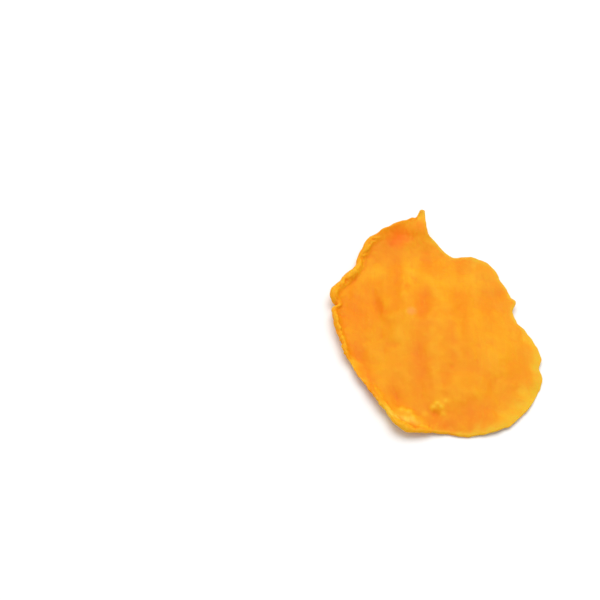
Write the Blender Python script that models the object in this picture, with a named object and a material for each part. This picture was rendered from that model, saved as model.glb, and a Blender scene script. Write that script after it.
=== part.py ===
"""One slice of dried mango, lying on a table with its smoother face up.

The slice is a single leathery sheet cut from the cheek of the fruit, so its outline is an uneven egg that narrows
to a small nib at one end. Drying has left the middle domed, turned the left edge up into a lip, curled the nib end
off the table and shrunk the right edge to a thin feather. It rests on the low ground between dome and edge.

+Z is up, +Y runs from the broad end to the nib, and the origin is on the table under the middle of the slice's box.
"""

import bisect
import math

import bmesh
import bpy
from mathutils import Vector, noise

MM = 0.001

# Driving dimensions of the sheet.
FLESH_THICKNESS = 2.5 * MM
DOME_RISE = 4.2 * MM
CONTACT_SINK = 0.45 * MM

# Shares of the way from the middle to the edge at which the dome ends, the curl starts and the sheet starts to
# thin. The lip starts its own width inside the edge. Curl and lip get steeper by their power, and past the edge
# they level off within the overrun.
DOME_END = 0.9
CURL_START, CURL_POWER, CURL_OVERRUN = 0.54, 2.2, 0.2
LIP_WIDTH, LIP_POWER = 2.2 * MM, 1.5
TAPER_START = 0.62

# Outline of the sheet's middle layer: degrees round from +X, and millimetres out from the origin.
OUTLINE = (
    (0, 29.3), (12, 28.7), (24, 30.5), (36, 31.2), (48, 33.3), (58, 33.4), (66, 32.3), (73, 30.9), (79, 32.3),
    (85, 35.5), (89, 37.6), (93, 40.5), (98, 43.7), (108, 43.5), (118, 42.5), (128, 39.5), (137, 35.9),
    (146, 35.9), (155, 36.9), (164, 36.6), (173, 35.0), (184, 33.7), (198, 33.6), (214, 34.6), (230, 36.9),
    (244, 41.8), (255, 47.5), (268, 45.8), (282, 47.6), (296, 49.0), (310, 46.6), (326, 43.2), (343, 36.8),
)

# Small features of the outline: degrees round, millimetres out (in if negative), and the half widths in degrees
# clockwise and counterclockwise of the middle.
OUTLINE_FEATURES = {
    "nib": (91.5, 8.3, 0.9, 2.5),
    "tooth": (16.5, 1.9, 2.6, 2.6),
    "left nick": (167.8, -2.3, 2.3, 2.6),
    "right nick": (331.2, -1.2, 2.8, 3.6),
}

# How far the edge stands above the low ground inside it: degrees round, and millimetres.
EDGE_LIFT = (
    (0, 0.8), (28, 1.4), (52, 1.4), (72, 1.7), (82, 2.9), (92, 5.3), (104, 5.6), (113, 4.4), (121, 2.7),
    (131, 1.8), (145, 1.7), (164, 1.9), (182, 1.9), (203, 1.8), (222, 1.6), (242, 1.2), (262, 0.6),
    (285, -0.1), (310, -0.2), (335, 0.2),
)

# How far the last few millimetres turn up on top of that: degrees round, and millimetres.
EDGE_LIP = (
    (0, 0.0), (60, 0.0), (80, 0.2), (95, 0.3), (113, 0.4), (120, 1.2), (128, 1.4), (150, 1.5), (170, 1.6),
    (190, 1.5), (206, 1.0), (220, 0.6), (234, 0.8), (246, 1.2), (257, 1.1), (268, 0.5), (282, 0.0),
    (325, 0.0),
)

# Thickness left at the edge: degrees round, and millimetres.
EDGE_THICKNESS = (
    (0, 1.0), (40, 1.2), (72, 1.0), (88, 0.8), (96, 0.9), (110, 1.2), (122, 2.0), (150, 2.2), (186, 1.9),
    (202, 1.2), (216, 0.8), (230, 0.8), (242, 1.3), (256, 1.6), (285, 1.0), (310, 0.7), (335, 0.8),
)

# Hollows (negative) and ridges: x and y of the middle, half length, half width, heading of the length in degrees
# from +X, and height. All but the heading are in millimetres.
RELIEF = (
    (-19.0, 6.5, 6.5, 1.7, 98, -0.9),
    (-15.6, 6.5, 6.5, 1.4, 98, 0.5),
    (-8.5, 10.0, 9.0, 2.4, 95, 0.5),
    (-3.3, 6.0, 6.5, 2.8, 92, -1.0),
    (1.0, 14.5, 7.0, 1.9, -60, 0.8),
    (-11.0, 37.5, 5.0, 2.2, 28, -0.7),
    (-5.3, -16.0, 15.0, 2.6, 91, -0.5),
    (5.3, -20.0, 2.4, 1.8, 60, -0.5),
    (-27.0, -14.5, 6.5, 2.2, -58, -0.7),
    (-14.3, -31.5, 4.0, 1.9, -57, -0.6),
    (-13.0, -39.2, 6.5, 2.0, -28, 0.7),
    (7.0, -31.0, 11.0, 5.0, 5, 0.8),
    (-1.5, -39.5, 2.2, 1.8, 110, -0.6),
    (1.5, -36.5, 2.4, 1.6, 20, 0.5),
    (14.0, 4.0, 9.0, 3.2, 75, -0.35),
    (20.0, -14.0, 9.0, 3.6, 70, 0.35),
    (22.0, 20.0, 5.0, 3.0, 120, 0.5),
)

# Unevenness that drying adds: its height, and the distance from crest to crest.
WAVE_HEIGHT, WAVE_SPAN = 0.9 * MM, 17 * MM
RUFFLE_HEIGHT, RUFFLE_SPAN, RUFFLE_START = 1.2 * MM, 8 * MM, 0.7
FIBRE_HEIGHT, FIBRE_SPAN, FIBRE_LENGTH = 0.25 * MM, 4.5 * MM, 30 * MM
RAGGED_DEPTH, RAGGED_SPAN = 0.5 * MM, 4.2 * MM
PLUMP_SHARE, PLUMP_SPAN = 0.22, 11 * MM

# Mesh: cells across each face, how much finer they get towards the edge and the nib, the directions in which the
# round of the edge has its points, and how far the round bulges as a share of half the thickness. The two powers
# say how late on the way out the small features and the uneven spacing of the edge's points set in.
FACE_CELLS = 50
EDGE_CROWDING = 0.42
NIB_CROWDING, NIB_CROWDING_DEGREES = 1.2, 8
RIM_SWINGS = (50, 0, -50)
RIM_ROUND = 0.85
SLOPE_STEP = 0.25 * MM
EDGE_SAMPLES = 1440
DETAIL_POWER, DRIFT_POWER = 2.6, 1.5
SMOOTHING_DEGREES = (-20, -10, 0, 10, 20)

FLESH_COLOUR = (0.93, 0.34, 0.022, 1)
FLESH_ROUGHNESS = 0.5


def rise(share):
    """A smooth step from 0, at a share of 0 or less, to 1, at a share of 1 or more."""
    share = min(1.0, max(0.0, share))
    return share * share * (3 - 2 * share)


def around(table, degrees):
    """A smooth closed curve through a table of (degrees, millimetres), read in metres."""
    count = len(table)
    here = bisect.bisect_right(table, (degrees % 360, math.inf)) - 1
    steps = range(here - 1, here + 3)
    angles = [table[step % count][0] + 360 * (step // count) for step in steps]
    values = [table[step % count][1] for step in steps]
    gap = angles[2] - angles[1]
    t = (degrees % 360 - angles[1]) / gap
    leaving = gap * (values[2] - values[0]) / (angles[2] - angles[0])
    arriving = gap * (values[3] - values[1]) / (angles[3] - angles[1])
    blend = rise(t)
    return MM * (
        (1 - blend) * values[1]
        + blend * values[2]
        + t * (1 - t) * ((1 - t) * leaving - t * arriving)
    )


def polar(radius, degrees):
    turn = math.radians(degrees)
    return radius * math.cos(turn), radius * math.sin(turn)


def wander(x, y, span, layer, length=None):
    """Smooth noise from about -0.5 to 0.5 over the sheet. Each layer has a pattern of its own."""
    return noise.noise(Vector((x / span, y / (length or span), 7.3 * layer)))


def edge_radius(degrees):
    """From the origin to the edge, with the nib, the tooth, the nicks and the ragged cut."""
    radius = around(OUTLINE, degrees)
    for middle, height, clockwise_width, other_width in OUTLINE_FEATURES.values():
        away = (degrees - middle + 180) % 360 - 180
        half_width = clockwise_width if away < 0 else other_width
        radius += height * MM * math.exp(-((away / half_width) ** 2))
    x, y = polar(radius, degrees)
    return radius + RAGGED_DEPTH * wander(x, y, RAGGED_SPAN, 1)


def smoothed_outline():
    """The outline without its small features, in steps of 10 degrees, for what is shaped by the sheet as a whole."""
    table = []
    for degrees in range(0, 360, 10):
        near = [around(OUTLINE, degrees + offset) for offset in SMOOTHING_DEGREES]
        table.append((degrees, sum(near) / len(near) / MM))
    return tuple(table)


def edge_directions():
    """Directions from the origin, paired with the share of the edge's points that lie before each."""
    directions = [360 * k / EDGE_SAMPLES for k in range(EDGE_SAMPLES + 1)]
    points = [polar(edge_radius(degrees), degrees) for degrees in directions]
    nib_middle = OUTLINE_FEATURES["nib"][0]
    lengths = [0.0]
    for degrees, start, end in zip(directions, points, points[1:]):
        near_nib = math.exp(-(((degrees - nib_middle) / NIB_CROWDING_DEGREES) ** 2))
        lengths.append(lengths[-1] + math.dist(start, end) * (1 + NIB_CROWDING * near_nib))
    return [(length / lengths[-1], degrees) for length, degrees in zip(lengths, directions)]


BODY_OUTLINE = smoothed_outline()
EDGE_DIRECTIONS = edge_directions()


def edge_direction(share):
    """The direction in which that share of the edge's points has been passed."""
    share %= 1
    here = bisect.bisect_right(EDGE_DIRECTIONS, (share, math.inf)) - 1
    (before, low), (after, high) = EDGE_DIRECTIONS[here : here + 2]
    return low + (high - low) * (share - before) / (after - before)


def place(reach, share):
    """x and y of a point: reach is 0 in the middle and 1 at the edge, and share runs once round the edge."""
    even = 360 * (share % 1)
    degrees = even + reach**DRIFT_POWER * (edge_direction(share) - even)
    body = around(BODY_OUTLINE, degrees)
    full = body + reach**DETAIL_POWER * (edge_radius(degrees) - body)
    return polar(full * reach * (1 + EDGE_CROWDING * (1 - reach)), degrees)


def direction_and_reach(x, y):
    degrees = math.degrees(math.atan2(y, x)) % 360
    return degrees, math.hypot(x, y) / around(BODY_OUTLINE, degrees)


def relief(x, y):
    """Height of the hollows and ridges at a point."""
    total = 0.0
    for middle_x, middle_y, half_length, half_width, heading, height in RELIEF:
        along_x, along_y = polar(1, heading)
        away_x, away_y = x / MM - middle_x, y / MM - middle_y
        along = (away_x * along_x + away_y * along_y) / half_length
        across = (away_y * along_x - away_x * along_y) / half_width
        total += height * MM * math.exp(-(along**2) - across**2)
    return total


def upturn(reach, start, power):
    """0 up to the start, 1 at the edge, and little more past it."""
    share = max(0.0, reach - start) / (1 - start)
    if share <= 1:
        return share**power
    return 1 + power * CURL_OVERRUN * (1 - math.exp((1 - share) / CURL_OVERRUN))


def height(x, y):
    """Height of the sheet's middle layer."""
    degrees, reach = direction_and_reach(x, y)
    dome = DOME_RISE * (1 - rise(reach / DOME_END))
    curl = around(EDGE_LIFT, degrees) * upturn(reach, CURL_START, CURL_POWER)
    inside = around(OUTLINE, degrees) - math.hypot(x, y)
    lip = around(EDGE_LIP, degrees) * upturn(1 - inside / LIP_WIDTH, 0, LIP_POWER)
    ruffle_share = max(0.0, reach - RUFFLE_START) / (1 - RUFFLE_START)
    ruffle = RUFFLE_HEIGHT * ruffle_share**2 * wander(x, y, RUFFLE_SPAN, 2)
    wave = WAVE_HEIGHT * wander(x, y, WAVE_SPAN, 3)
    fibre = FIBRE_HEIGHT * wander(x, y, FIBRE_SPAN, 4, FIBRE_LENGTH)
    return dome + curl + lip + ruffle + wave + fibre + relief(x, y)


def thickness(x, y):
    degrees, reach = direction_and_reach(x, y)
    thinning = rise((reach - TAPER_START) / (1 - TAPER_START))
    even = FLESH_THICKNESS + thinning * (around(EDGE_THICKNESS, degrees) - FLESH_THICKNESS)
    return even * (1 + PLUMP_SHARE * wander(x, y, PLUMP_SPAN, 5))


def middle_point(x, y):
    return Vector((x, y, height(x, y)))


def normal_at(x, y):
    along_x = middle_point(x + SLOPE_STEP, y) - middle_point(x - SLOPE_STEP, y)
    along_y = middle_point(x, y + SLOPE_STEP) - middle_point(x, y - SLOPE_STEP)
    return along_x.cross(along_y).normalized()


def outward_at(share):
    """The direction in which the sheet leaves its edge, square to the edge and along the surface."""
    step = 1 / EDGE_SAMPLES
    ahead = middle_point(*place(1, share + step))
    behind = middle_point(*place(1, share - step))
    return (ahead - behind).cross(normal_at(*place(1, share))).normalized()


def sheet_point(reach, share, swing):
    """A point of the surface. Swing is 90 degrees on the upper face, -90 on the lower and between them on the rim."""
    x, y = place(reach, share)
    half = thickness(x, y) / 2
    turn = math.radians(swing)
    point = middle_point(x, y) + half * math.sin(turn) * normal_at(x, y)
    if abs(swing) < 90:
        point += RIM_ROUND * half * math.cos(turn) * outward_at(share)
    return point


def sheet_mesh():
    """Two faces from one grid, rounded to fit the outline and joined round the edge by a rim of quads."""
    mesh = bmesh.new()
    reach = mesh.verts.layers.float.new("reach")
    share = mesh.verts.layers.float.new("share")
    swing = mesh.verts.layers.float.new("swing")
    bmesh.ops.create_grid(mesh, x_segments=FACE_CELLS, y_segments=FACE_CELLS, size=1)
    for vert in mesh.verts:
        disc_x = vert.co.x * math.sqrt(1 - vert.co.y**2 / 2)
        disc_y = vert.co.y * math.sqrt(1 - vert.co.x**2 / 2)
        vert[reach] = min(1.0, math.hypot(disc_x, disc_y))
        vert[share] = math.atan2(disc_y, disc_x) / math.tau % 1
        vert[swing] = 90
    ring = [edge for edge in mesh.edges if edge.is_boundary]
    copied = bmesh.ops.duplicate(mesh, geom=mesh.verts[:] + mesh.edges[:] + mesh.faces[:])["geom"]
    lower_faces = [item for item in copied if isinstance(item, bmesh.types.BMFace)]
    bmesh.ops.reverse_faces(mesh, faces=lower_faces)
    for vert in copied:
        if isinstance(vert, bmesh.types.BMVert):
            vert[swing] = -90
    lower_ring = [item for item in copied if isinstance(item, bmesh.types.BMEdge) and item.is_boundary]
    for angle in RIM_SWINGS:
        made = bmesh.ops.extrude_edge_only(mesh, edges=ring)["geom"]
        for vert in made:
            if isinstance(vert, bmesh.types.BMVert):
                vert[swing] = angle
        ring = [item for item in made if isinstance(item, bmesh.types.BMEdge) and item.is_boundary]
    for vert in mesh.verts:
        vert.co = sheet_point(vert[reach], vert[share], vert[swing])
    bmesh.ops.bridge_loops(mesh, edges=ring + lower_ring)
    bmesh.ops.recalc_face_normals(mesh, faces=mesh.faces)
    return mesh


def lay_on_table(mesh):
    """Moves the sheet onto the table, where its own weight flattens the lowest flesh, and centres it."""
    table = min(vert.co.z for vert in mesh.verts) + CONTACT_SINK
    for vert in mesh.verts:
        vert.co.z = max(0.0, vert.co.z - table)
    sides = [[vert.co[axis] for vert in mesh.verts] for axis in (0, 1)]
    middle = [(min(side) + max(side)) / 2 for side in sides]
    bmesh.ops.translate(mesh, verts=mesh.verts, vec=Vector((-middle[0], -middle[1], 0)))


def flesh_material():
    material = bpy.data.materials.new("dried_mango_flesh")
    material.use_nodes = True
    shader = material.node_tree.nodes["Principled BSDF"]
    shader.inputs["Base Color"].default_value = FLESH_COLOUR
    shader.inputs["Roughness"].default_value = FLESH_ROUGHNESS
    return material


def build_slice():
    mesh = sheet_mesh()
    lay_on_table(mesh)
    bmesh.ops.triangulate(mesh, faces=mesh.faces)
    data = bpy.data.meshes.new("mango_slice")
    mesh.to_mesh(data)
    mesh.free()
    data.shade_smooth()
    data.materials.append(flesh_material())
    mango_slice = bpy.data.objects.new("mango_slice", data)
    bpy.context.scene.collection.objects.link(mango_slice)


for leftover in list(bpy.data.objects):
    bpy.data.objects.remove(leftover)
build_slice()
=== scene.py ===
import math

import bmesh
import bpy
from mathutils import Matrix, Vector, noise
from mathutils.bvhtree import BVHTree
from mathutils.kdtree import KDTree


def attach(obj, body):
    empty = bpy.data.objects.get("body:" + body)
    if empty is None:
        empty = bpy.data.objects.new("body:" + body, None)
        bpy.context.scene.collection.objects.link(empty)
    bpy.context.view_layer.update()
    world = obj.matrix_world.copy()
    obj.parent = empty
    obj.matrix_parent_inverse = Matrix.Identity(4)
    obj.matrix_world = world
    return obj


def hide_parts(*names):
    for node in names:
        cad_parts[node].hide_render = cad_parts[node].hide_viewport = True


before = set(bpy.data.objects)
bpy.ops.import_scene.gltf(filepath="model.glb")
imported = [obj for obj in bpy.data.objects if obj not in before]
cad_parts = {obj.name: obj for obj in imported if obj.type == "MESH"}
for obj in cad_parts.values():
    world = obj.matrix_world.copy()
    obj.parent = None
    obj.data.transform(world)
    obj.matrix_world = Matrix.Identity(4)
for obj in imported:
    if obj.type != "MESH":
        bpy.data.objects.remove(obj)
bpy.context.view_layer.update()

# The flesh: its form
# One sheet cut from the cheek of a ripe mango, along its fibres, and dried until it is leathery. Drying
# leaves furrows along the fibres, small wrinkles across them, and an edge that curls, cracks and rolls into
# a bead.

MM = 0.001
MERGE_DISTANCE = 0.005 * MM
LARGEST_FOLD = math.radians(75)
SUBDIVISIONS = 2

coarse = bmesh.new()
coarse.from_mesh(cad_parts["mango_slice"].data)
bmesh.ops.remove_doubles(coarse, verts=coarse.verts, dist=MERGE_DISTANCE)
bmesh.ops.join_triangles(
    coarse,
    faces=coarse.faces,
    angle_face_threshold=LARGEST_FOLD,
    angle_shape_threshold=LARGEST_FOLD,
)
flesh = bpy.data.objects.new("dried_mango_flesh", bpy.data.meshes.new("dried_mango_flesh"))
bpy.context.scene.collection.objects.link(flesh)
coarse.to_mesh(flesh.data)
coarse.free()
rounding = flesh.modifiers.new("rounding", "SUBSURF")
rounding.levels = rounding.render_levels = SUBDIVISIONS
smooth_form = bpy.data.meshes.new_from_object(flesh.evaluated_get(bpy.context.evaluated_depsgraph_get()))
flesh.modifiers.remove(rounding)
flesh.data = smooth_form

sheet = bmesh.new()
sheet.from_mesh(flesh.data)
sheet.normal_update()


def direction(point):
    """Where a point lies around the middle, in degrees from +X."""
    return math.degrees(math.atan2(point.y, point.x)) % 360


# The cut edge is the line of points furthest out, one for each step of half a degree around the middle.
EDGE_STEP = 0.5
furthest = {}
for vert in sheet.verts:
    step = int(direction(vert.co) / EDGE_STEP)
    if step not in furthest or vert.co.xy.length > furthest[step].xy.length:
        furthest[step] = vert.co.copy()
edge_line = KDTree(len(furthest))
for step, point in furthest.items():
    edge_line.insert((point.x, point.y, 0), step)
edge_line.balance()


def edge_distance(point):
    """How far a point lies inside the cut edge, seen from above."""
    return edge_line.find((point.x, point.y, 0))[2]


def rise(share):
    """A smooth step from 0, at a share of 0 or less, to 1, at a share of 1 or more."""
    share = min(1.0, max(0.0, share))
    return share * share * (3 - 2 * share)


def hump(away, half_width):
    """1 in the middle, about a third at the half width, and near 0 at twice that."""
    return math.exp(-((away / half_width) ** 2))


# Noise with one pattern number lies this many spans from noise with the number before.
PATTERN_STEP = 9.7


def wander(point, span, pattern, length=None):
    """Smooth noise from about -0.5 to 0.5, with a span of its own along Y where a length is given."""
    height = point.z / span + PATTERN_STEP * pattern
    return noise.noise(Vector((point.x / span, point.y / (length or span), height)))


def between(degrees, start, end, fade):
    """1 in the directions from start to end, fading to 0 on both sides."""
    inside = (degrees - start) % 360
    span = (end - start) % 360
    if inside <= span:
        return 1.0
    return 1 - rise(min(inside - span, 360 - inside) / fade)


# Fibres run from the broad end to the nib and lie closer together near both ends, as if they met FIBRE_MEET
# from the middle. They stand out most in broad strands.
FIBRE_HEIGHT, FIBRE_SPAN, FIBRE_LENGTH = 0.08 * MM, 1.5 * MM, 18 * MM
FIBRE_MEET = 75 * MM
STRAND_SPAN, STRAND_COVER = 11 * MM, 0.3
STRAND_LEAST, STRAND_SHARE = 0.5, 1.2
CRINKLE_HEIGHT, CRINKLE_SPAN = 0.22 * MM, 3.4 * MM
PUCKER_HEIGHT, PUCKER_SPAN = 0.09 * MM, 1.3 * MM


def dried_relief(point):
    """Height that drying adds to the surface."""
    gather = math.sqrt(1 - (point.y / FIBRE_MEET) ** 2)
    gathered = Vector((point.x / gather, point.y, point.z))
    strands = STRAND_LEAST + STRAND_SHARE * max(0.0, wander(point, STRAND_SPAN, 1) + STRAND_COVER)
    fibres = FIBRE_HEIGHT * strands * wander(gathered, FIBRE_SPAN, 2, FIBRE_LENGTH)
    crinkle = CRINKLE_HEIGHT * wander(point, CRINKLE_SPAN, 3)
    pucker = PUCKER_HEIGHT * wander(point, PUCKER_SPAN, 4)
    return fibres + crinkle + pucker


# At the left the cut edge is rolled into a lumpy bead, with a crease just inside its upper part. A second,
# softer bead follows the edge at the lower left. A stretch of the edge is written as the directions where it
# starts and ends and the angle over which it fades, in degrees. The half widths and the crease's place are
# shares of the crest's distance from the edge.
BEAD_HEIGHT, CREASE_DEPTH = 0.4 * MM, 0.12 * MM
LEFT_BEAD, LOWER_LEFT_BEAD, LOWER_LEFT_SHARE = (118, 206, 6), (236, 264, 8), 0.7
NEAR_CREST, FAR_CREST = 1.2 * MM, 2.1 * MM
FAR_ABOVE_NICK, FAR_LOWER_LEFT = (112, 158, 16), (228, 268, 12)
BEAD_HALF_WIDTH = 0.45
CREASED, CREASE_PLACE, CREASE_HALF_WIDTH = (112, 168, 30), 1.8, 0.26
LUMP_SPAN, LUMP_SHARE = 2.4 * MM, 1.1
SMALL_LUMP_SPAN, SMALL_LUMP_SHARE = 1.1 * MM, 0.9


def bead_share(point, degrees):
    """How much of a bead the edge has near a point, around 1 where it is full."""
    rolled = between(degrees, *LEFT_BEAD) + LOWER_LEFT_SHARE * between(degrees, *LOWER_LEFT_BEAD)
    lumps = LUMP_SHARE * wander(point, LUMP_SPAN, 5)
    small_lumps = SMALL_LUMP_SHARE * wander(point, SMALL_LUMP_SPAN, 10)
    return rolled * (1 + lumps + small_lumps)


def bead_crest(degrees):
    """How far inside the edge the bead's crest lies."""
    far = between(degrees, *FAR_ABOVE_NICK) + between(degrees, *FAR_LOWER_LEFT)
    return NEAR_CREST + (FAR_CREST - NEAR_CREST) * far


def rolled_edge(point, inside, degrees):
    """Height of the bead and the crease along the edge of the upper face."""
    crest = bead_crest(degrees)
    bead = hump(inside - crest, BEAD_HALF_WIDTH * crest)
    crease = between(degrees, *CREASED) * hump(inside - CREASE_PLACE * crest, CREASE_HALF_WIDTH * crest)
    return bead_share(point, degrees) * (BEAD_HEIGHT * bead - CREASE_DEPTH * crease)


# The knife and the drying leave the edge ragged, most of all at the lower left.
TORN = (202, 238, 12)
TEAR_DEPTH, TEAR_SPAN, TEAR_REACH = 0.6 * MM, 1.2 * MM, 1.8 * MM
RAGGED_DEPTH, RAGGED_SPAN = 0.4 * MM, 2.6 * MM


def ragged_edge(point, inside, degrees):
    """How far a point near the edge is drawn in or out."""
    near = 1 - rise(inside / TEAR_REACH)
    torn = TEAR_DEPTH * between(degrees, *TORN) * wander(point, TEAR_SPAN, 6)
    return near * (torn + RAGGED_DEPTH * wander(point, RAGGED_SPAN, 7))


# Beads of pulp stand up near the broad end. A small pit lies among them and another further up, both with a
# height below 0: x and y, half width and height, in millimetres.
PULP_BEADS = (
    (-12.9, -38.4, 1.1, 0.25),
    (-10.5, -39.3, 1.0, 0.40),
    (-9.2, -41.4, 0.9, 0.30),
    (-5.0, -39.3, 0.9, 0.20),
    (-2.3, -37.0, 0.9, 0.35),
    (-1.0, -35.9, 0.8, 0.40),
    (0.4, -37.2, 0.8, 0.40),
    (2.1, -34.9, 1.0, 0.25),
    (0.9, -39.4, 0.9, 0.20),
    (-1.4, -39.1, 0.9, -0.30),
    (4.9, -21.1, 1.0, -0.30),
)


def pulp_height(point):
    """Height of the beads of pulp at a point of the upper face."""
    total = 0.0
    for x, y, half_width, height in PULP_BEADS:
        total += height * MM * hump(math.hypot(point.x / MM - x, point.y / MM - y), half_width)
    return total


# The nib's tip has dried out to a short thread that leans to the right, and the edge left of its root is
# drawn out with it.
NIB_START, NIB_LENGTH = 42.2 * MM, 5 * MM
NIB_DRAW = Vector((0.4, 0.9, 0)) * MM
ROOT_START, ROOT_LENGTH = 39.5 * MM, 3 * MM
ROOT_MIDDLE, ROOT_HALF_WIDTH = -4.8 * MM, 2.3 * MM
ROOT_DRAW = Vector((0.0, 1.5, 0)) * MM


def drawn_out(point):
    """How far a point of the nib has been drawn out."""
    thread = rise((point.y - NIB_START) / NIB_LENGTH)
    root = rise((point.y - ROOT_START) / ROOT_LENGTH) * hump(point.x - ROOT_MIDDLE, ROOT_HALF_WIDTH)
    return thread * NIB_DRAW + root * ROOT_DRAW


# The beads and the crease are on the upper face only, and fade where the surface turns down.
for vert in sheet.verts:
    place = vert.co.copy()
    inside = edge_distance(place)
    degrees = direction(place)
    upper = rise(0.5 + vert.normal.z)
    lift = dried_relief(place) + upper * (rolled_edge(place, inside, degrees) + pulp_height(place))
    outward = Vector((place.x, place.y, 0)).normalized()
    vert.co = place + lift * vert.normal + ragged_edge(place, inside, degrees) * outward + drawn_out(place)
    vert.co.z = max(0.0, vert.co.z)
sheet.normal_update()

# The flesh: what sets its colour
# Drier flesh is paler and riper flesh deeper in colour. Thin flesh and the rim are painted yellow, for the
# glow of light shining through them, hollows are painted deeper, for their shade, and crests paler, for their
# light. Each is measured at every point of the mesh and kept there for the material.

# Patches that are drier (positive) or riper (negative): x and y of the middle, half length and half width in
# millimetres, heading of the length in degrees from +X, and strength. Some of them also paint light and
# shade: the riper patches in the hollow below the nib are painted shade, and the strongest drier ones, on the
# ridge at the lower left, are a painted highlight.
PATCHES = (
    (-9.0, 37.2, 4.5, 2.4, 10, -0.6),
    (-13.0, 35.0, 2.4, 1.6, 30, -0.9),
    (-12.0, 21.0, 6.0, 1.8, 90, -0.4),
    (-6.4, 21.5, 6.5, 1.9, 90, 1.0),
    (-19.3, 22.3, 3.2, 3.0, 0, 0.7),
    (-26.0, 20.5, 4.0, 3.0, 20, 0.5),
    (-0.3, 25.5, 5.0, 2.2, 90, -0.4),
    (-9.4, 14.6, 1.6, 1.4, 0, -0.7),
    (2.9, 17.0, 7.0, 3.2, -15, 0.6),
    (1.5, 9.5, 3.0, 1.3, -55, 0.6),
    (16.0, 19.0, 8.0, 4.0, 20, 0.5),
    (-3.5, 5.0, 8.0, 2.3, 90, -0.7),
    (-17.8, 4.6, 6.2, 1.2, 104, -1.0),
    (-21.5, 4.0, 6.0, 4.0, 90, -0.4),
    (-28.0, 4.0, 7.0, 4.0, 95, -0.4),
    (-25.9, -14.5, 5.0, 2.6, -58, -0.5),
    (-20.3, -17.0, 8.0, 3.5, 90, 0.4),
    (-12.0, -10.0, 9.0, 3.0, 90, 0.4),
    (-5.6, -18.5, 12.0, 2.2, 90, -0.38),
    (-14.8, -30.0, 3.5, 2.2, -50, -0.25),
    (-24.2, -24.5, 8.0, 1.8, -67, -0.9),
    (-17.6, -39.7, 3.2, 1.3, -60, 1.5),
    (-11.0, -42.6, 5.5, 1.5, -14, 2.2),
    (-9.6, -45.0, 5.0, 0.5, -17, -0.8),
    (12.2, -38.9, 11.0, 5.0, 5, -0.45),
    (0.2, -43.2, 4.5, 2.0, 0, -0.5),
    (23.2, -10.9, 14.0, 8.0, 80, 0.25),
    (24.2, -36.9, 6.0, 3.0, 50, 0.9),
)
# The bead's crest is painted paler, as a painted highlight. Beads of pulp are paler by so much for each
# millimetre that they stand up, partly as dried pulp and partly as painted highlight. Blotches are longest
# along the fibres.
BEAD_PAINTED_HIGHLIGHT, PULP_DRYNESS_AND_HIGHLIGHT = 0.6, 5
BLOTCH_DRYNESS, BLOTCH_SPAN, BLOTCH_LENGTH = 0.35, 4.5 * MM, 14 * MM


def dryness_and_painted_light_at(vert):
    """How dry the flesh is at a point, with painted highlight and shade mixed in, mostly from -1 where it is
    ripest and most shaded to 2 where it is driest and most lit.
    """
    point, degrees = vert.co, direction(vert.co)
    crest = bead_crest(degrees)
    bead = hump(edge_distance(point) - crest, BEAD_HALF_WIDTH * crest)
    # Painted highlight along the bead's crest.
    total = BEAD_PAINTED_HIGHLIGHT * bead_share(point, degrees) * bead
    # Beads of pulp: partly paler dried pulp, partly painted highlight.
    total += PULP_DRYNESS_AND_HIGHLIGHT * max(0.0, pulp_height(point)) / MM
    total += BLOTCH_DRYNESS * wander(point, BLOTCH_SPAN, 8, BLOTCH_LENGTH)
    for x, y, half_length, half_width, heading, strength in PATCHES:
        along = Vector((math.cos(math.radians(heading)), math.sin(math.radians(heading))))
        away = point.xy / MM - Vector((x, y))
        across = along.x * away.y - along.y * away.x
        total += strength * hump(along.dot(away), half_length) * hump(across, half_width)
    return total


# The free edge is painted straw-yellow, for the glow of light through its thin flesh, patchy and widest at
# the lower right, with a fainter stretch at the lower left that paints the olive look of that edge in shade.
RIM_WIDTH, WIDE_RIM = 1.9 * MM, 4.0 * MM
FREE_EDGE, WIDE_STRETCH = (280, 86, 14), (296, 330, 20)
FAINT_STRETCH, FAINT_SHARE = (240, 266, 8), 0.6
RIM_SPAN, RIM_LEAST, RIM_PATCHES = 3 * MM, 0.95, 0.9


def rim_at(vert):
    """How much of the rim's colour a point has. At 1 or more it has all of it."""
    degrees = direction(vert.co)
    width = RIM_WIDTH + (WIDE_RIM - RIM_WIDTH) * between(degrees, *WIDE_STRETCH)
    patchy = RIM_LEAST + RIM_PATCHES * wander(vert.co, RIM_SPAN, 9)
    stretches = between(degrees, *FREE_EDGE) + FAINT_SHARE * between(degrees, *FAINT_STRETCH)
    return stretches * patchy * (1 - rise(edge_distance(vert.co) / width))


# Depth is measured by a ray through the sheet, from just inside its surface. The rim is skipped, because a
# ray leaves through the edge there, and takes the depth of the nearest points further in.
THICK = 2.6 * MM
SKIPPED_RIM = 1.2 * MM
RAY_START, RAY_REACH = 0.02 * MM, 2 * THICK
NEAREST = 6

solid = BVHTree.FromBMesh(sheet)
measured = []
for vert in sheet.verts:
    if edge_distance(vert.co) > SKIPPED_RIM:
        depth = solid.ray_cast(vert.co - RAY_START * vert.normal, -vert.normal, RAY_REACH)[3]
        if depth:
            measured.append((vert.co.copy(), min(1.0, depth / THICK)))
depths = KDTree(len(measured))
for index, (point, depth) in enumerate(measured):
    depths.insert(point, index)
depths.balance()


def thickness_at(vert):
    """The sheet's depth near a point, as a share of THICK and at most 1."""
    near = depths.find_n(vert.co, NEAREST)
    return sum(measured[index][1] for point, index, distance in near) / len(near)


# What lies below the same sheet ironed smooth is a hollow, and what stands above it is a crest.
IRONING_STEPS = 60
HOLLOW_DEPTH = 0.35 * MM

ironed = sheet.copy()
for step in range(IRONING_STEPS):
    bmesh.ops.smooth_vert(
        ironed, verts=ironed.verts, factor=0.5, use_axis_x=True, use_axis_y=True, use_axis_z=True
    )
ironed.verts.ensure_lookup_table()
sheet.verts.index_update()


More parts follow.
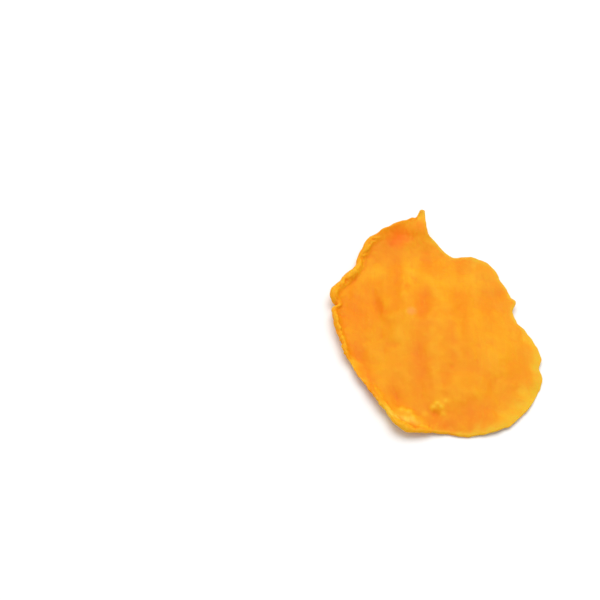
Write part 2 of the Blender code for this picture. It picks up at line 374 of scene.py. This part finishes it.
def hollow_at(vert):
    """From -1 on a crest to 1 in a hollow."""
    below = (ironed.verts[vert.index].co - vert.co).dot(vert.normal)
    return max(-1.0, min(1.0, below / HOLLOW_DEPTH))


for name, measure in (
    ("dryness_and_painted_light", dryness_and_painted_light_at),
    ("rim", rim_at),
    ("thickness", thickness_at),
    ("hollow", hollow_at),
):
    layer = sheet.verts.layers.float.new(name)
    for vert in sheet.verts:
        vert[layer] = measure(vert)
ironed.free()
sheet.to_mesh(flesh.data)
sheet.free()
flesh.data.shade_smooth()
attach(flesh, "root")
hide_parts("mango_slice")

# The flesh: its finish
# Dried mango is satin, with the gloss of its own sugar, and light soaks a millimetre or two into it, so thin
# edges glow yellow and hollows turn deep orange; the base colour also paints in this glow and this shade,
# with painted highlights on the crests. Fibres, pale pulp and riper, deeper patches make the colour uneven.


def linear(hex_colour):
    """A hex sRGB colour as linear red, green, blue and alpha."""
    parts = [int(hex_colour[k : k + 2], 16) / 255 for k in (1, 3, 5)]
    return [part / 12.92 if part <= 0.04045 else ((part + 0.055) / 1.055) ** 2.4 for part in parts] + [1.0]


def add_node(tree, kind, inputs=(), **settings):
    """Adds a node. Inputs pairs each socket's name or number with a value or with the output linked to it."""
    made = tree.nodes.new(kind)
    for name, value in settings.items():
        setattr(made, name, value)
    for socket, value in inputs:
        if isinstance(value, bpy.types.NodeSocket):
            tree.links.new(value, made.inputs[socket])
        else:
            made.inputs[socket].default_value = value
    return made


# The deep and pale flesh colours serve both real ripeness and painted shade and highlight, the thin flesh and
# rim colours paint the glow of light through thin flesh, and the dry pulp colour is partly a painted
# highlight.
FLESH = linear("#E99308")
DEEP_FLESH_AND_SHADE = linear("#E87B0A")
PALE_FLESH_AND_HIGHLIGHT = linear("#ECAC1A")
THIN_FLESH_GLOW = linear("#EEB826")
DRY_PULP_AND_HIGHLIGHT = linear("#F2BE3E")
PULP_SPECK = linear("#EBA614")
STRAW_RIM_GLOW = linear("#E2B226")
# A pinkish fleck, a deep red-orange in the hollow that paints its shade, the root of the nib and its tip:
# colour, middle and radius in mm.
SPOTS = (
    ("#EA9648", (-7.7, 1.9, 6.0), 2.4),
    ("#F6780E", (-10.3, 36.9, 5.6), 5.5),
    ("#EC8612", (-2.9, 40.4, 8.0), 3.4),
    ("#CF9A1E", (-1.5, 46.6, 8.8), 3.4),
)
SPOT_SHARE, SPOT_CORE = 0.7, 0.15

dried_mango = bpy.data.materials.new("dried_mango_flesh")
dried_mango.use_nodes = True
tree = dried_mango.node_tree
shader = tree.nodes["Principled BSDF"]
shader.inputs["Specular IOR Level"].default_value = 0.11
shader.inputs["Subsurface Weight"].default_value = 0.45
shader.inputs["Subsurface Radius"].default_value = (1.0, 0.4, 0.1)
shader.inputs["Subsurface Scale"].default_value = 1.6 * MM

place = add_node(tree, "ShaderNodeTexCoord").outputs["Object"]
dryness_and_painted_light, rim, thickness, hollow = (
    add_node(tree, "ShaderNodeAttribute", attribute_name=name).outputs["Fac"]
    for name in ("dryness_and_painted_light", "rim", "thickness", "hollow")
)

# Fibres are about 1.6 mm apart and eleven times as long, and specks of pulp are about 1.1 mm across.
FIBRE_APART, FIBRE_STRETCH = 1.6 * MM, 0.09
SPECK_SIZE = 1.1 * MM

stretched = add_node(tree, "ShaderNodeMapping", [("Vector", place), ("Scale", (1.0, FIBRE_STRETCH, 1.0))])
fibre = add_node(
    tree,
    "ShaderNodeTexNoise",
    [("Vector", stretched.outputs["Vector"]), ("Scale", 1 / FIBRE_APART), ("Detail", 3), ("Roughness", 0.5)],
).outputs["Fac"]
pulp = add_node(
    tree,
    "ShaderNodeTexNoise",
    [("Vector", place), ("Scale", 1 / SPECK_SIZE), ("Detail", 2), ("Roughness", 0.6)],
).outputs["Fac"]

# Layers of colour over the plain flesh, in order: what drives each, the values where it starts and where it
# is full, its share when full, and its colour.
layers = [
    # Dryness: real paleness and ripeness, with painted highlight and painted shade mixed in.
    (dryness_and_painted_light, -0.1, 1.2, 1.0, PALE_FLESH_AND_HIGHLIGHT),
    (dryness_and_painted_light, 0.1, -1.1, 1.0, DEEP_FLESH_AND_SHADE),
    (dryness_and_painted_light, 1.0, 2.2, 1.0, DRY_PULP_AND_HIGHLIGHT),
    (fibre, 0.5, 0.75, 0.2, DEEP_FLESH_AND_SHADE),
    # Painted shade deepens the hollows, and a painted highlight pales the crests.
    (hollow, 0.05, 0.9, 0.7, DEEP_FLESH_AND_SHADE),
    (hollow, -0.1, -0.9, 0.55, PALE_FLESH_AND_HIGHLIGHT),
    # Painted glow: thin flesh is painted yellow for the light shining through it.
    (thickness, 0.45, 0.26, 0.65, THIN_FLESH_GLOW),
    # Painted glow along the rim, and the edge's shade at the lower left.
    (rim, 0.0, 1.0, 0.85, STRAW_RIM_GLOW),
    (pulp, 0.6, 0.74, 0.3, PULP_SPECK),
]
for spot, middle, radius in SPOTS:
    away = add_node(
        tree,
        "ShaderNodeVectorMath",
        [(0, place), (1, Vector(middle) * MM)],
        operation="DISTANCE",
    ).outputs["Value"]
    layers.append((away, radius * MM, SPOT_CORE * radius * MM, SPOT_SHARE, linear(spot)))

# A Mix node's colours go in at two of its sockets and come out at a third.
BELOW, ABOVE, MIXED = 6, 7, 2

colour = FLESH
for driver, start, full, share, tint in layers:
    factor = add_node(
        tree,
        "ShaderNodeMapRange",
        [("Value", driver), ("From Min", start), ("From Max", full), ("To Max", share)],
    )
    layered = add_node(
        tree,
        "ShaderNodeMix",
        [("Factor", factor.outputs["Result"]), (BELOW, colour), (ABOVE, tint)],
        data_type="RGBA",
    )
    colour = layered.outputs[MIXED]
tree.links.new(colour, shader.inputs["Base Color"])

# The sugar's gloss comes and goes over about 5 mm.
GLOSS_SPAN = 5 * MM
GLOSSY_ROUGHNESS, DULL_ROUGHNESS = 0.36, 0.62

gloss = add_node(tree, "ShaderNodeTexNoise", [("Vector", place), ("Scale", 1 / GLOSS_SPAN), ("Detail", 3)])
roughness = add_node(
    tree,
    "ShaderNodeMapRange",
    [("Value", gloss.outputs["Fac"]), ("To Min", GLOSSY_ROUGHNESS), ("To Max", DULL_ROUGHNESS)],
)
tree.links.new(roughness.outputs["Result"], shader.inputs["Roughness"])

# A fine grain, 0.6 mm across, and the fibres keep the surface from being smooth.
GRAIN_SIZE, GRAIN_HEIGHT = 0.6 * MM, 0.12 * MM
FIBRE_BUMP = 0.15 * MM

grain = add_node(
    tree,
    "ShaderNodeTexNoise",
    [("Vector", place), ("Scale", 1 / GRAIN_SIZE), ("Detail", 4), ("Roughness", 0.6)],
)
grain_bump = add_node(
    tree,
    "ShaderNodeBump",
    [("Height", grain.outputs["Fac"]), ("Strength", 0.5), ("Distance", GRAIN_HEIGHT)],
)
fibre_bump = add_node(
    tree,
    "ShaderNodeBump",
    [
        ("Height", fibre),
        ("Strength", 0.35),
        ("Distance", FIBRE_BUMP),
        ("Normal", grain_bump.outputs["Normal"]),
    ],
)
tree.links.new(fibre_bump.outputs["Normal"], shader.inputs["Normal"])
flesh.data.materials.clear()
flesh.data.materials.append(dried_mango)

# The table
# A sheet of matt white acrylic, wide enough to fill the picture in every view from above.

TABLE_HALF = 2.0
TABLE_WHITE = linear("#F6F6F6")

table_form = bmesh.new()
bmesh.ops.create_grid(table_form, x_segments=1, y_segments=1, size=TABLE_HALF)
table = bpy.data.objects.new("table", bpy.data.meshes.new("table"))
table_form.to_mesh(table.data)
table_form.free()
bpy.context.scene.collection.objects.link(table)

matt_acrylic = bpy.data.materials.new("matt_white_acrylic")
matt_acrylic.use_nodes = True
acrylic = matt_acrylic.node_tree.nodes["Principled BSDF"]
acrylic.inputs["Base Color"].default_value = TABLE_WHITE
acrylic.inputs["Roughness"].default_value = 0.9
acrylic.inputs["Specular IOR Level"].default_value = 0.1
table.data.materials.append(matt_acrylic)

# The light
# A white studio: light comes softly from everywhere, and about half of it from a large softbox overhead, set
# a little behind the slice.

STUDIO_LIGHT = 0.63
SOFTBOX_SIZE = 1.5
SOFTBOX_PLACE = Vector((0.1, 0.5, 1.45))
SOFTBOX_WATTS = 18.6

studio = bpy.data.worlds.new("studio")
studio.use_nodes = True
studio.node_tree.nodes["Background"].inputs["Color"].default_value = (1, 1, 1, 1)
studio.node_tree.nodes["Background"].inputs["Strength"].default_value = STUDIO_LIGHT
bpy.context.scene.world = studio
softbox_light = bpy.data.lights.new("softbox", "AREA")
softbox_light.size = SOFTBOX_SIZE
softbox_light.energy = SOFTBOX_WATTS
softbox = bpy.data.objects.new("softbox", softbox_light)
softbox.location = SOFTBOX_PLACE
softbox.rotation_euler = (-SOFTBOX_PLACE).to_track_quat("-Z", "Y").to_euler()
bpy.context.scene.collection.objects.link(softbox)
bpy.context.scene.view_settings.view_transform = "Standard"

# The camera
# A short telephoto lens that looks down at the slice from the broad end. The slice lies right of the middle
# of the picture and a little below it.

LENS_MM = 85
CAMERA_ELEVATION = math.radians(50)
CAMERA_DISTANCE = 506 * MM
AIM = Vector((-46.71, 11.7, 0)) * MM

camera = bpy.data.objects.new("camera", bpy.data.cameras.new("camera"))
camera.data.lens = LENS_MM
camera.data.clip_start = 10 * MM
towards_camera = Vector((0, -math.cos(CAMERA_ELEVATION), math.sin(CAMERA_ELEVATION)))
camera.location = AIM + CAMERA_DISTANCE * towards_camera
camera.rotation_euler = (-towards_camera).to_track_quat("-Z", "Y").to_euler()
bpy.context.scene.collection.objects.link(camera)
bpy.context.scene.camera = camera
